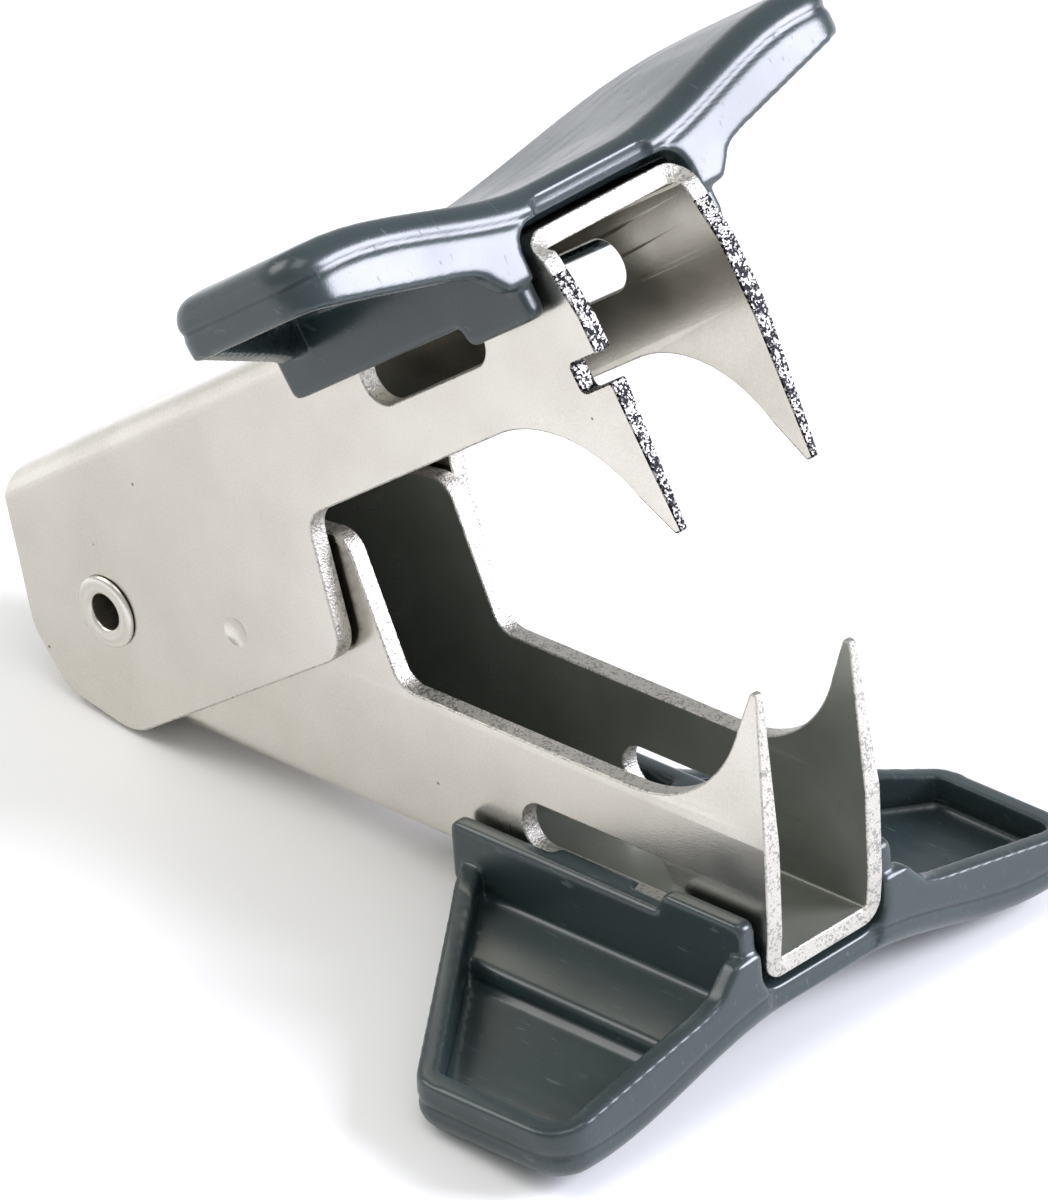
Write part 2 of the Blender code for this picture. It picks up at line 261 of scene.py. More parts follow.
def nickel(name, light, dark, roughness, grain_height, metallic=1.0):
    """Plated sheet: grain, cloudiness and stray pits on a warm grey metal."""
    material, tree, shader = finish(name, light, metallic, roughness)
    place = add(tree, "ShaderNodeTexCoord").outputs["Object"]
    grain = add(tree, "ShaderNodeTexNoise",
                {"Vector": place, "Scale": per_mm(GRAIN), "Detail": 3.0}).outputs["Fac"]
    cloud = add(tree, "ShaderNodeTexNoise",
                {"Vector": place, "Scale": per_mm(CLOUD), "Detail": 2.0}).outputs["Fac"]
    cells = add(tree, "ShaderNodeTexVoronoi", {"Vector": place, "Scale": per_mm(PIT_SPACING)})
    pit = ranged(tree, cells.outputs["Distance"], PIT_CORE, PIT_RIM, 1.0, 0.0, "SMOOTHSTEP")
    cloudy = ranged(tree, cloud, 0.35, 0.65, 0.0, 1.0)
    body = blended(tree, cloudy, linear(light), linear(dark))
    grainy = ranged(tree, grain, 0.3, 0.75, 0.0, 0.22)
    speckled = blended(tree, grainy, body, linear("#8d877d"))
    tree.links.new(blended(tree, pit, speckled, linear("#77726a")), shader.inputs["Base Color"])
    tree.links.new(ranged(tree, cloud, 0.3, 0.7, roughness - 0.04, roughness + 0.05),
                   shader.inputs["Roughness"])
    rough = add(tree, "ShaderNodeBump",
                {"Height": grain, "Strength": 0.5, "Distance": grain_height * MM})
    dent = add(tree, "ShaderNodeBump",
               {"Height": pit, "Strength": 0.7, "Distance": PIT_DEEP * MM,
                "Normal": rough.outputs["Normal"]}, invert=True)
    tree.links.new(dent.outputs["Normal"], shader.inputs["Normal"])
    return material


satin_nickel = nickel("satin_nickel_plate", "#dfdbd3", "#d8d4cb", 0.24, 0.008)
print("made", satin_nickel.name)

# %% [markdown]
# ## Finish: nickel inside the fold
# The inside faces of the channels are the same nickel as the outside. Their colour is darkened to
# stand in for the shade that falls inside them, so this is painted shade and not a different
# plating. In the wide fold the painted shade is slight, and the finish is a little glossier. In the
# narrow fold the painted shade is deep and tinted grey-green, and that finish is duller and only
# half a metal.

# %% Nickel inside the channels, darkened as painted shade
# These colours are darker than the outside nickel as painted shade inside the folds: slight in the
# wide fold, deep in the narrow one.
wide_fold_painted_shade = nickel("nickel_painted_shade_wide_fold", "#d3cfc4", "#c6c2b7", 0.20, 0.004)
narrow_fold_painted_shade = nickel("nickel_painted_shade_narrow_fold", "#868a82", "#777b73", 0.30, 0.004,
                       metallic=0.5)
print("made", wide_fold_painted_shade.name, "and", narrow_fold_painted_shade.name)

# %% [markdown]
# ## Finish: sheared edge
# The press shears each blank out. A sheared edge has a smooth burnished band on the punch side
# and a torn, crystalline band below it. Plating makes both bright, with dark pits between the
# torn grains, here about an eighth of a millimetre across. The fronts of the wide jaw's fangs are
# torn the most, so their grains stand out black and white.

# %% Sheared, plated edge
CRYSTAL, WANDER = 0.12, 0.7


def sheared(name, light, dark, dark_share, roughness):
    """Torn metal as small crystals, each bright or dark, with wandering brighter patches."""
    material, tree, shader = finish(name, light, 1.0, roughness)
    place = add(tree, "ShaderNodeTexCoord").outputs["Object"]
    wander = add(tree, "ShaderNodeTexNoise",
                 {"Vector": place, "Scale": per_mm(WANDER), "Detail": 2.0}).outputs["Fac"]
    crystals = add(tree, "ShaderNodeTexVoronoi", {"Vector": place, "Scale": per_mm(CRYSTAL)})
    shade = crystals.outputs["Color"]
    torn = add(tree, "ShaderNodeMath", {0: shade, 1: ranged(tree, wander, 0.3, 0.7, -0.22, 0.22)},
               operation="ADD").outputs[0]
    dark_ones = ranged(tree, torn, dark_share - 0.06, dark_share + 0.06, 1.0, 0.0, "SMOOTHSTEP")
    colour = blended(tree, dark_ones, linear(light), linear(dark))
    tree.links.new(colour, shader.inputs["Base Color"])
    tree.links.new(ranged(tree, shade, 0.1, 0.9, roughness - 0.12, roughness + 0.08),
                   shader.inputs["Roughness"])
    faceted = add(tree, "ShaderNodeBump", {"Height": crystals.outputs["Distance"],
                                           "Strength": 0.7, "Distance": 0.04 * MM})
    tree.links.new(faceted.outputs["Normal"], shader.inputs["Normal"])
    return material


sheared_edge = sheared("sheared_nickel_edge", "#cbc8c0", "#a3a19c", 0.30, 0.50)
torn_edge = sheared("torn_fang_edge", "#a19f9b", "#1d1d1f", 0.56, 0.44)
print("made", sheared_edge.name, "and", torn_edge.name)

# %% [markdown]
# ## Jaws: from flat blank to folded channel
# The press cuts a flat blank, with its windows and pin holes, and folds it along two lines. The
# same two steps make the mesh. A closed curve, filled and given a thickness and a small bevel, is
# the blank with its rolled edges. Each point is then carried round the fold by the rule that
# bends real sheet. This gives an even wall, true bends, clean edges, and a UV map that is the
# flat pattern.

# %% Outlines
WEB_FRONT, WALL_DEPTH = 49.0, 9.1
FANG_ARC_X, FANG_ARC_R, FANG_DEPTH = 39.6, 8.3, 17.7
GRIND_FROM, TIP_THICKNESS = 8.6, 0.5
SHEARED_ROUND = 0.11
WINDOW = {"x": (31.0, 42.2), "depth": (2.3, 5.3), "corner": 1.48}
PIN_HOLE = 1.78
BELOW_WEB = 1e-4


def rounded(corners, step=7.0, stride=0.8):
    """Corners (x, y, radius) as a closed outline, with points no further apart than stride."""
    line = []
    for i, (x, y, r) in enumerate(corners):
        here = Vector((x, y))
        if not r:
            line.append(here)
            continue
        back = (Vector(corners[i - 1][:2]) - here).normalized()
        ahead = (Vector(corners[(i + 1) % len(corners)][:2]) - here).normalized()
        half = back.angle(ahead) / 2
        centre = here + (back + ahead).normalized() * (r / math.sin(half))
        first = here + back * (r / math.tan(half)) - centre
        turn = first.angle_signed(here + ahead * (r / math.tan(half)) - centre)
        count = max(2, round(abs(math.degrees(turn)) / step))
        line += [centre + Matrix.Rotation(-turn * k / count, 2) @ first for k in range(count + 1)]
    fine = []
    for here, after in zip(line, line[1:] + line[:1]):
        count = max(1, math.ceil((after - here).length / stride))
        fine += [here.lerp(after, k / count) for k in range(count)]
    return fine


def arc(cx, cy, r, start, end, count):
    """An arc between two angles in degrees, as unrounded corners."""
    angles = [math.radians(start + (end - start) * k / count) for k in range(count + 1)]
    return [(cx + r * math.cos(a), cy + r * math.sin(a), 0) for a in angles]


def wall_outline(jaw, notched):
    """One wall of a jaw from the side, as points (x, depth below the web's outer face).

    Its corners are given as (x, height above the pivot, radius), with the jaw lying flat.
    """
    web, inner, tip = jaw["web"], jaw["web"] - WALL_DEPTH, jaw["web"] - FANG_DEPTH
    fang = arc(FANG_ARC_X, inner - FANG_ARC_R, FANG_ARC_R, 88, 16, 24)
    if jaw["up"] > 0:
        rear = [(-3.5, web, 2.5), (-7.15, 0.9, 1.5), (-6.9, -3.2, 3.0), (-3.0, -7.1, 3.5)]
        ear = [(18.0, -7.5, 2.0), (20.9, inner, 1.8)]
        notch = [(50.35, web - 8.9, 0.12), (47.9, web - 8.9, 0.35), (47.9, web - 7.2, 0.35),
                 (50.42, web - 7.2, 0.12)] if notched else []
        front = [(48.75, tip, 0.2), (49.3, tip, 0.2), (50.35, web - 9.4, 3.0), *notch,
                 (50.5, web - 5.0, 3.0), (49.9, web - 1.6, 1.2)]
    else:
        rear = [(-6.1, web, 2.8), (-7.6, 1.2, 1.5)] + arc(0, 0, 7.6, 186, 232, 8)
        ear = [(0.2, -8.1, 1.5), (18.6, -10.4, 1.6), (22.0, inner, 1.5)]
        front = [(48.55, tip, 0.2), (49.05, tip, 0.2), (49.6, web - 8.5, 3.0),
                 (49.4, web - 3.0, 3.0)]
    outline = rounded(rear + ear + fang + front + [(WEB_FRONT, web, 0)])
    start = outline.index(next(p for p in outline if p.y < web - BELOW_WEB))
    wall = outline[start - 1:] + outline[:start - 1]
    last = max(i for i, p in enumerate(wall) if p.y < web - BELOW_WEB)
    return [(p.x, max(web - p.y, 0.0)) for p in wall[:last + 2]]


for jaw in (UPPER, LOWER):
    print("wall outline of", len(wall_outline(jaw, False)), "points")

# %% Flat blank
BRIDGE_STEPS, HOLE_STEPS = 12, 48


def flat_reach(jaw, depth):
    """How far from the middle line of the blank a given depth of the folded wall lies."""
    flat = jaw["width"] / 2 - BEND
    if depth < BEND:
        return flat + BEND * math.acos(1 - depth / BEND)
    return flat + BEND * math.pi / 2 + depth - BEND


def blank_outlines(jaw):
    """The blank's outer outline and its holes, flat, in millimetres."""
    near = [(x, -flat_reach(jaw, d)) for x, d in wall_outline(jaw, jaw["up"] > 0)]
    far = [(x, flat_reach(jaw, d)) for x, d in wall_outline(jaw, False)]
    bridge = [far[-1][1] * (1 - 2 * k / BRIDGE_STEPS) for k in range(1, BRIDGE_STEPS)]
    front = [(WEB_FRONT, y) for y in bridge]
    back = [(far[0][0], -y) for y in bridge]
    (x0, x1), (d0, d1), corner = WINDOW["x"], WINDOW["depth"], WINDOW["corner"]
    angles = [math.tau * k / HOLE_STEPS for k in range(HOLE_STEPS)]
    holes = []
    for side in (-1, 1):
        y0, y1 = side * flat_reach(jaw, d0), side * flat_reach(jaw, d1)
        holes.append(rounded([(x, y, corner) for x, y in ((x0, y0), (x1, y0), (x1, y1), (x0, y1))]))
        middle = side * flat_reach(jaw, jaw["web"])
        holes.append([(PIN_HOLE * math.cos(a), middle + PIN_HOLE * math.sin(a)) for a in angles])
    return [far + front + near[::-1] + back] + holes


def flat_plate(name, outlines, thickness, edge_round):
    """Closed outlines filled as one plate in metres, with rolled edges, as a mesh."""
    curve = bpy.data.curves.new(name, "CURVE")
    curve.dimensions, curve.fill_mode = "2D", "BOTH"
    curve.extrude = (thickness / 2 - edge_round) * MM
    curve.bevel_depth, curve.bevel_resolution, curve.offset = edge_round * MM, 2, -edge_round * MM
    for outline in outlines:
        spline = curve.splines.new("POLY")
        spline.use_cyclic_u = True
        spline.points.add(len(outline) - 1)
        for point, spot in zip(spline.points, outline):
            point.co = (spot[0] * MM, spot[1] * MM, 0, 1)
    drawn = bpy.data.objects.new(name, curve)
    bpy.context.scene.collection.objects.link(drawn)
    graph = bpy.context.evaluated_depsgraph_get()
    mesh = bpy.data.meshes.new_from_object(drawn.evaluated_get(graph))
    bpy.data.objects.remove(drawn)
    return mesh


for jaw in (UPPER, LOWER):
    print("blank", [round(max(p[i] for p in blank_outlines(jaw)[0]), 2) for i in (0, 1)], "mm")

# %% Fold the blank
FOLD_STEPS = 8
FANG_FROM_X, TORN_FROM_X, TORN_FROM_DEPTH = 36.0, 47.6, 2.2
MERGED, FLAT_ENOUGH, PATTERN_SPAN = 0.0005, 0.99, 60.0
OUTSIDE, INSIDE, SHEARED, TORN = range(4)


def fold_point(jaw, spot):
    """Where a point of the flat blank goes: (x, distance from the middle line, height)."""
    x, reach, height = spot
    side, out = math.copysign(1, reach), abs(reach)
    flat, sweep = jaw["width"] / 2 - BEND, BEND * math.pi / 2
    below = SHEET / 2 - height
    depth = BEND + out - flat - sweep
    if depth > GRIND_FROM and x > FANG_FROM_X:
        thin = (SHEET - TIP_THICKNESS) * (depth - GRIND_FROM) / (FANG_DEPTH - GRIND_FROM)
        below += (1 - below / SHEET) * thin
    if out <= flat:
        y, z = reach, jaw["web"] - below
    elif depth <= BEND:
        a = (out - flat) / BEND
        y = side * (flat + (BEND - below) * math.sin(a))
        z = jaw["web"] - BEND + (BEND - below) * math.cos(a)
    else:
        y, z = side * (jaw["width"] / 2 - below), jaw["web"] - depth
    return Vector((x, y, jaw["up"] * z))


def folded(name, jaw, materials):
    """A jaw: the blank cut along its fold lines, classed by finish, and bent round."""
    mesh = flat_plate(name, blank_outlines(jaw), SHEET, SHEARED_ROUND)
    shape = bmesh.new()
    shape.from_mesh(mesh)
    bmesh.ops.remove_doubles(shape, verts=shape.verts, dist=MERGED * MM)
    flat, sweep = jaw["width"] / 2 - BEND, BEND * math.pi / 2
    lines = [flat + sweep * k / FOLD_STEPS for k in range(FOLD_STEPS + 1)]
    lines.append(flat_reach(jaw, GRIND_FROM))
    for reach in [side * line for line in lines for side in (-1, 1)]:
        bmesh.ops.bisect_plane(shape, geom=shape.verts[:] + shape.edges[:] + shape.faces[:],
                               dist=1e-8, plane_co=(0, reach * MM, 0), plane_no=(0, 1, 0))
    pattern = shape.loops.layers.uv.new("flat_pattern")
    for face in shape.faces:
        face.smooth = True
        x, reach, height = face.calc_center_median() / MM
        fang_front = x > TORN_FROM_X and abs(reach) > flat_reach(jaw, TORN_FROM_DEPTH)
        if abs(face.normal.z) > FLAT_ENOUGH:
            face.material_index = OUTSIDE if height > 0 else INSIDE
        else:
            face.material_index = TORN if fang_front and jaw["up"] > 0 else SHEARED
        for loop in face.loops:
            loop[pattern].uv = [c / MM / PATTERN_SPAN + 0.5 for c in loop.vert.co.xy]
    for vert in shape.verts:
        vert.co = fold_point(jaw, vert.co / MM) * MM
    bmesh.ops.recalc_face_normals(shape, faces=shape.faces)
    if shape.calc_volume(signed=True) < 0:
        bmesh.ops.reverse_faces(shape, faces=shape.faces)
    shape.transform(turned_by(jaw["turn"]))
    shape.to_mesh(mesh)
    shape.free()
    return show(name, mesh, materials)


# The inside faces take the nickel that is darkened as painted shade.
upper_shell = folded("upper_channel", UPPER, [satin_nickel, wide_fold_painted_shade, sheared_edge, torn_edge])
lower_shell = folded("lower_channel", LOWER, [satin_nickel, narrow_fold_painted_shade, sheared_edge])
for shell in (upper_shell, lower_shell):
    print(shell.name, len(shell.data.polygons), "faces")

# %% [markdown]
# ## Locating dimples and even shading
# The press tool leaves a small round dimple on each ear of the wide jaw, ahead of the rivet,
# where the blank is held while it is folded. A ball bites it out, and its rim is marked sharp.
# Weighted normals then keep the broad walls flat to the eye and let only the narrow rolled edges
# turn the light.

# %% Dimples, then weighted normals
DIMPLE_X, DIMPLE_OUT, DIMPLE_R, DIMPLE_DEEP = 10.1, -3.9, 0.9, 0.22
RIM_CLOSE, SHARP_FROM, BROAD_WALLS = 0.03, math.radians(50), 60


def press_dimples(shell, jaw):
    """Bites a shallow round dimple out of each ear."""
    ball_r = (DIMPLE_R ** 2 + DIMPLE_DEEP ** 2) / (2 * DIMPLE_DEEP)
    for side in (-1, 1):
        ball = bmesh.new()
        bmesh.ops.create_uvsphere(ball, u_segments=96, v_segments=64, radius=ball_r * MM)
        out = jaw["width"] / 2 + ball_r - DIMPLE_DEEP
        ball.transform(Matrix.Rotation(math.radians(90), 4, "X"))
        ball.transform(turned_by(jaw["turn"]) @ Matrix.Translation(
            Vector((DIMPLE_X, side * out, DIMPLE_OUT)) * MM))
        mesh = bpy.data.meshes.new("ball")
        for face in ball.faces:
            face.smooth = True
        ball.to_mesh(mesh)
        ball.free()
        cutter = show("ball", mesh)
        bite = shell.modifiers.new("dimple", "BOOLEAN")
        bite.operation, bite.solver, bite.object = "DIFFERENCE", "EXACT", cutter
        applied(shell)
        bpy.data.objects.remove(cutter)


def dimple_rims(shell, jaw):
    """The edges that lie on the rim of a dimple."""
    to_flat = turned_by(jaw["turn"]).inverted()
    on_rim = set()
    for vert in shell.data.vertices:
        x, y, z = (to_flat @ vert.co) / MM
        off_rim = math.hypot(x - DIMPLE_X, z - DIMPLE_OUT) - DIMPLE_R
        if abs(off_rim) < RIM_CLOSE and abs(y) > jaw["width"] / 2 - RIM_CLOSE:
            on_rim.add(vert.index)
    return [edge for edge in shell.data.edges if on_rim.issuperset(edge.vertices)]


press_dimples(upper_shell, UPPER)
for shell in (upper_shell, lower_shell):
    shell.data.set_sharp_from_angle(angle=SHARP_FROM)
rims = dimple_rims(upper_shell, UPPER)
for edge in rims:
    edge.use_edge_sharp = True
print(len(rims), "edges round the dimples")
for shell in (upper_shell, lower_shell):
    even = shell.modifiers.new("even", "WEIGHTED_NORMAL")
    even.keep_sharp, even.weight = True, BROAD_WALLS
    applied(shell)
    print(shell.name, len(shell.data.polygons), "faces")

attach(upper_shell, "upper")
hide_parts("upper_jaw")
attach(lower_shell, "lower")
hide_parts("lower_jaw")

# %% [markdown]
# ## Rivet
# A tubular rivet is a short steel tube whose ends are rolled outwards over the ears. Anything
# turned is a profile swept round its axis, so the profile is drawn once, with its two rolled
# lips, and a Screw modifier turns it. The finish is the same nickel, with the fine rings that the
# rolling tool leaves.

# %% Rivet
SHANK_R, BORE_R, HEAD_R, LIP_HIGH = 1.7, 1.1, 2.2, 0.28
HEAD_FACE = UPPER["width"] / 2 + 0.08
HEAD_UNDERCUT, LIP_FULLNESS, LIP_FLATNESS = 0.06, 0.86, 0.8
TURN_STEPS, LIP_DEGREES = 96, 9


def turned(name, profile):
    """A closed profile (radius, along Y) swept once round Y, as an object in the pivot's frame."""
    shape = bmesh.new()
    ring = [shape.verts.new((r * MM, y * MM, 0)) for r, y in profile]
    for here, after in zip(ring, ring[1:] + ring[:1]):
        shape.edges.new((here, after))
    mesh = bpy.data.meshes.new(name)
    shape.to_mesh(mesh)
    shape.free()
    obj = show(name, mesh)
    sweep = obj.modifiers.new("turn", "SCREW")
    sweep.axis, sweep.steps, sweep.render_steps = "Y", TURN_STEPS, TURN_STEPS
    sweep.use_merge_vertices, sweep.merge_threshold = True, 1e-6
    applied(obj)
    shape = bmesh.new()
    shape.from_mesh(obj.data)
    bmesh.ops.remove_doubles(shape, verts=shape.verts, dist=1e-7)
    bmesh.ops.recalc_face_normals(shape, faces=shape.faces)
    for face in shape.faces:
        face.smooth = True
    shape.to_mesh(obj.data)
    shape.free()
    return obj


def rolled_lip():
    """One end's rolled lip, from the bore to the rim of the head, as profile points."""
    middle, half = (BORE_R + HEAD_R) / 2, (HEAD_R - BORE_R) / 2
    lip = []
    for degrees in range(0, 181, LIP_DEGREES):
        across, up = math.cos(math.radians(degrees)), math.sin(math.radians(degrees))
        full = LIP_FULLNESS + (1 - LIP_FULLNESS) * abs(across)
        lip.append((middle - half * across * full, HEAD_FACE + LIP_HIGH * up ** LIP_FLATNESS))
    return lip


profile = rolled_lip() + [(HEAD_R - HEAD_UNDERCUT, HEAD_FACE), (SHANK_R, HEAD_FACE)]
rivet_body = turned("tubular_rivet", profile + [(r, -y) for r, y in reversed(profile)])
rivet_body.data.transform(turned_by(LOWER["turn"]))

rolled_nickel, tree, shader = finish("rolled_nickel_rivet", "#d2cec6", 1.0, 0.26)
place = add(tree, "ShaderNodeTexCoord").outputs["Object"]
centred = add(tree, "ShaderNodeMapping", {"Vector": place, "Location": -PIVOT},
              vector_type="POINT")
rings = add(tree, "ShaderNodeTexWave",
            {"Vector": centred.outputs["Vector"], "Scale": per_mm(1.6), "Distortion": 1.2,
             "Detail": 2.0, "Detail Scale": 1.5},
            wave_type="RINGS", rings_direction="Y").outputs["Fac"]
bright = blended(tree, rings, linear("#dedad2"), linear("#d5d1c8"))
tree.links.new(bright, shader.inputs["Base Color"])
tree.links.new(ranged(tree, rings, 0, 1, 0.22, 0.32), shader.inputs["Roughness"])
turned_lines = add(tree, "ShaderNodeBump",
                   {"Height": rings, "Strength": 0.3, "Distance": 0.006 * MM})
tree.links.new(turned_lines.outputs["Normal"], shader.inputs["Normal"])
rivet_body.data.materials.append(rolled_nickel)
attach(rivet_body, "lower")
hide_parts("pivot_rivet")
print(rivet_body.name, len(rivet_body.data.polygons), "faces")

# %% [markdown]
# ## Torsion spring
# Three turns of millimetre wire sit round the rivet, and a straight leg lies under each web. The
# wire follows a rule, an angle and a sideways step that grow together, so its middle line comes
# from that rule, and a Geometry Nodes tree sweeps the round wire along it. The tree's inputs are
# the wire's radius, how closely the line is sampled, and the finish.

# %% Middle line of the wire
WIRE_R, COIL_R, TURNS, COIL_STEP = 0.5, 3.2, 3, 1.3
LEG_FROM, LEG_REACH, LEG_EASE, CLEAR = 0.35, 15.6, 2.2, 0.3
LEG_STEPS, TURN_POINTS = 16, 40


def wire_line():
    """The wire's middle line as points in the lower jaw's frame, in millimetres."""
    opening = math.radians(OPENING)
    low = -(LOWER["web"] - SHEET - WIRE_R - CLEAR)
    high = UPPER["web"] - SHEET - WIRE_R - CLEAR
    swept = math.tau * TURNS + math.pi - opening
    half = COIL_STEP * swept / math.tau / 2

    def leg(start, end):
        """A leg from the coil's height to its tip's height, easing into the straight."""
        steps = [k / LEG_STEPS for k in range(LEG_STEPS + 1)]
        return [(LEG_FROM + (LEG_REACH - LEG_FROM) * t,
                 start + (end - start) * (1 - (1 - t) ** LEG_EASE)) for t in steps]

    lower_leg = [(x, -half, z) for x, z in reversed(leg(-COIL_R, low))]
    coil = []
    count = TURN_POINTS * TURNS + LEG_STEPS
    for k in range(count + 1):
        a = k / count
        angle = -math.pi / 2 - swept * a
        coil.append((COIL_R * math.cos(angle), -half + 2 * half * a, COIL_R * math.sin(angle)))
    upper_leg = [(x * math.cos(opening) - z * math.sin(opening), half,
                  x * math.sin(opening) + z * math.cos(opening))
                 for x, z in leg(COIL_R, high)]
    return lower_leg + coil + upper_leg


line = wire_line()
print("wire line of", len(line), "points,",
      round(sum((Vector(b) - Vector(a)).length for a, b in zip(line, line[1:])), 1), "mm of wire")

# %% Sweep the wire with Geometry Nodes
WIRE_SPACING, WIRE_SIDES = 0.35, 20


def node_tree(name, inputs):
    """An empty Geometry Nodes tree that takes and gives a geometry, with named inputs."""
    tree = bpy.data.node_groups.new(name, "GeometryNodeTree")
    tree.interface.new_socket("Geometry", in_out="INPUT", socket_type="NodeSocketGeometry")
    for label, kind in inputs:
        tree.interface.new_socket(label, in_out="INPUT", socket_type=kind)
    tree.interface.new_socket("Geometry", in_out="OUTPUT", socket_type="NodeSocketGeometry")
    return tree, add(tree, "NodeGroupInput")


def run_tree(obj, tree, values):
    """Runs a tree on an object with its named inputs set, and keeps the result as its mesh."""
    made = obj.modifiers.new(tree.name, "NODES")
    made.node_group = tree
    for item in tree.interface.items_tree:
        if item.item_type == "SOCKET" and item.in_out == "INPUT" and item.name in values:
            made[item.identifier] = values[item.name]
    return applied(obj)


drawn_wire, tree, shader = finish("drawn_spring_wire", "#5d5a56", 1.0, 0.30)
place = add(tree, "ShaderNodeTexCoord").outputs["Object"]
die_lines = add(tree, "ShaderNodeTexNoise",
                {"Vector": place, "Scale": per_mm(0.25), "Detail": 4.0}).outputs["Fac"]
dusky = blended(tree, die_lines, linear("#6f6b66"), linear("#474440"))
tree.links.new(dusky, shader.inputs["Base Color"])
tree.links.new(ranged(tree, die_lines, 0.3, 0.7, 0.24, 0.38), shader.inputs["Roughness"])
lined = add(tree, "ShaderNodeBump",
            {"Height": die_lines, "Strength": 0.5, "Distance": 0.01 * MM})
tree.links.new(lined.outputs["Normal"], shader.inputs["Normal"])

tree, given = node_tree("sweep_round_wire", [("Wire radius", "NodeSocketFloat"),
                                             ("Spacing", "NodeSocketFloat"),
                                             ("Finish", "NodeSocketMaterial")])
path = add(tree, "GeometryNodeMeshToCurve", {"Mesh": given.outputs["Geometry"]})
even = add(tree, "GeometryNodeResampleCurve", {"Curve": path.outputs["Curve"],
                                               "Length": given.outputs["Spacing"]}, mode="LENGTH")
section = add(tree, "GeometryNodeCurvePrimitiveCircle",
              {"Resolution": WIRE_SIDES, "Radius": given.outputs["Wire radius"]})
swept = add(tree, "GeometryNodeCurveToMesh", {"Curve": even.outputs["Curve"],
                                              "Profile Curve": section.outputs["Curve"],
                                              "Fill Caps": True})
soft = add(tree, "GeometryNodeSetShadeSmooth", {"Geometry": swept.outputs["Mesh"]})
real = add(tree, "GeometryNodeRealizeInstances", {"Geometry": soft.outputs["Geometry"]})
painted = add(tree, "GeometryNodeSetMaterial", {"Geometry": real.outputs["Geometry"],
                                                "Material": given.outputs["Finish"]})
add(tree, "NodeGroupOutput", {"Geometry": painted.outputs["Geometry"]})

strand = bpy.data.meshes.new("torsion_spring_wire")
to_world = turned_by(LOWER["turn"])
strand.from_pydata([to_world @ (Vector(p) * MM) for p in line],
                   [(i, i + 1) for i in range(len(line) - 1)], [])
spring_wire = show("torsion_spring_wire", strand)
run_tree(spring_wire, tree,
         {"Wire radius": WIRE_R * MM, "Spacing": WIRE_SPACING * MM, "Finish": drawn_wire})
spring_wire.data.set_sharp_from_angle(angle=math.radians(60))
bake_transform(spring_wire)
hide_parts("torsion_spring")
print(spring_wire.name, len(spring_wire.data.polygons), "faces")

# %% [markdown]
# ## Finish: moulded plastic
# The grips are moulded in high-impact polystyrene, coloured charcoal all through. The mould is
# polished outside, so the surface has a soft gloss with a faint ripple, and handling leaves fine
# scuffs and pale rubbed corners. The two halves of the mould meet in a fine line just under the
# top edge, where dirt gathers. The line follows the moulding, so its distance comes from an
# attribute on the mesh, as does the wear on the corners.

# %% Moulded polystyrene
PARTING_LINE = 0.16


def moulded(name, body, deep, worn, roughness):
    """Charcoal plastic: ripple, scuffs, rubbed corners and a parting line."""
    material, tree, shader = finish(name, body, 0.0, roughness)
    shader.inputs["IOR"].default_value = 1.55
    place = add(tree, "ShaderNodeTexCoord").outputs["Object"]
    cloud = add(tree, "ShaderNodeTexNoise",
                {"Vector": place, "Scale": per_mm(7.0), "Detail": 3.0}).outputs["Fac"]
    skin = add(tree, "ShaderNodeTexNoise",
               {"Vector": place, "Scale": per_mm(0.16), "Detail": 3.0}).outputs["Fac"]
    stretched = add(tree, "ShaderNodeMapping",
                    {"Vector": place, "Scale": (0.12, 1.0, 0.4), "Rotation": (0.3, 0.5, 0.9)})
    scuff = add(tree, "ShaderNodeTexNoise", {"Vector": stretched.outputs["Vector"],
                                             "Scale": per_mm(0.22), "Detail": 2.0})
    scratch = ranged(tree, scuff.outputs["Fac"], 0.66, 0.74, 0.0, 1.0, "SMOOTHSTEP")
    off_line = add(tree, "ShaderNodeAttribute", attribute_name="parting").outputs["Fac"]
    distance = add(tree, "ShaderNodeMath", {0: off_line}, operation="ABSOLUTE").outputs[0]
    seam = ranged(tree, distance, 0.0, PARTING_LINE, 1.0, 0.0, "SMOOTHSTEP")
    rubbed = add(tree, "ShaderNodeAttribute", attribute_name="corner").outputs["Fac"]
    patches = ranged(tree, skin, 0.4, 0.6, 0.2, 1.0)
    patchy = add(tree, "ShaderNodeMath", {0: rubbed, 1: patches}, operation="MULTIPLY").outputs[0]
    cloudy = ranged(tree, cloud, 0.35, 0.65, 0.0, 1.0)
    ground = blended(tree, cloudy, linear(body), linear(deep))
    scuffed = blended(tree, ranged(tree, scratch, 0, 1, 0, 0.25), ground, linear(worn))
    cornered = blended(tree, patchy, scuffed, linear(worn))
    lined = blended(tree, ranged(tree, seam, 0, 1, 0, 0.65), cornered, linear("#15181b"))
    tree.links.new(lined, shader.inputs["Base Color"])
    dull = add(tree, "ShaderNodeMath",
               {0: ranged(tree, cloud, 0.3, 0.7, roughness - 0.04, roughness + 0.05),
                1: ranged(tree, scratch, 0, 1, 0, 0.14)}, operation="ADD")
    tree.links.new(dull.outputs[0], shader.inputs["Roughness"])
    ripple = add(tree, "ShaderNodeBump",
                 {"Height": cloud, "Strength": 0.5, "Distance": 0.10 * MM})
    fine = add(tree, "ShaderNodeBump",
               {"Height": skin, "Strength": 0.5, "Distance": 0.010 * MM,
                "Normal": ripple.outputs["Normal"]})
    tree.links.new(fine.outputs["Normal"], shader.inputs["Normal"])
    return material


upper_plastic = moulded("moulded_polystyrene_upper", "#2f3b3d", "#293537", "#6f7f81", 0.27)
lower_plastic = moulded("moulded_polystyrene_lower", "#2f3b3c", "#293536", "#6f7f81", 0.29)
print("made", upper_plastic.name, "and", lower_plastic.name)

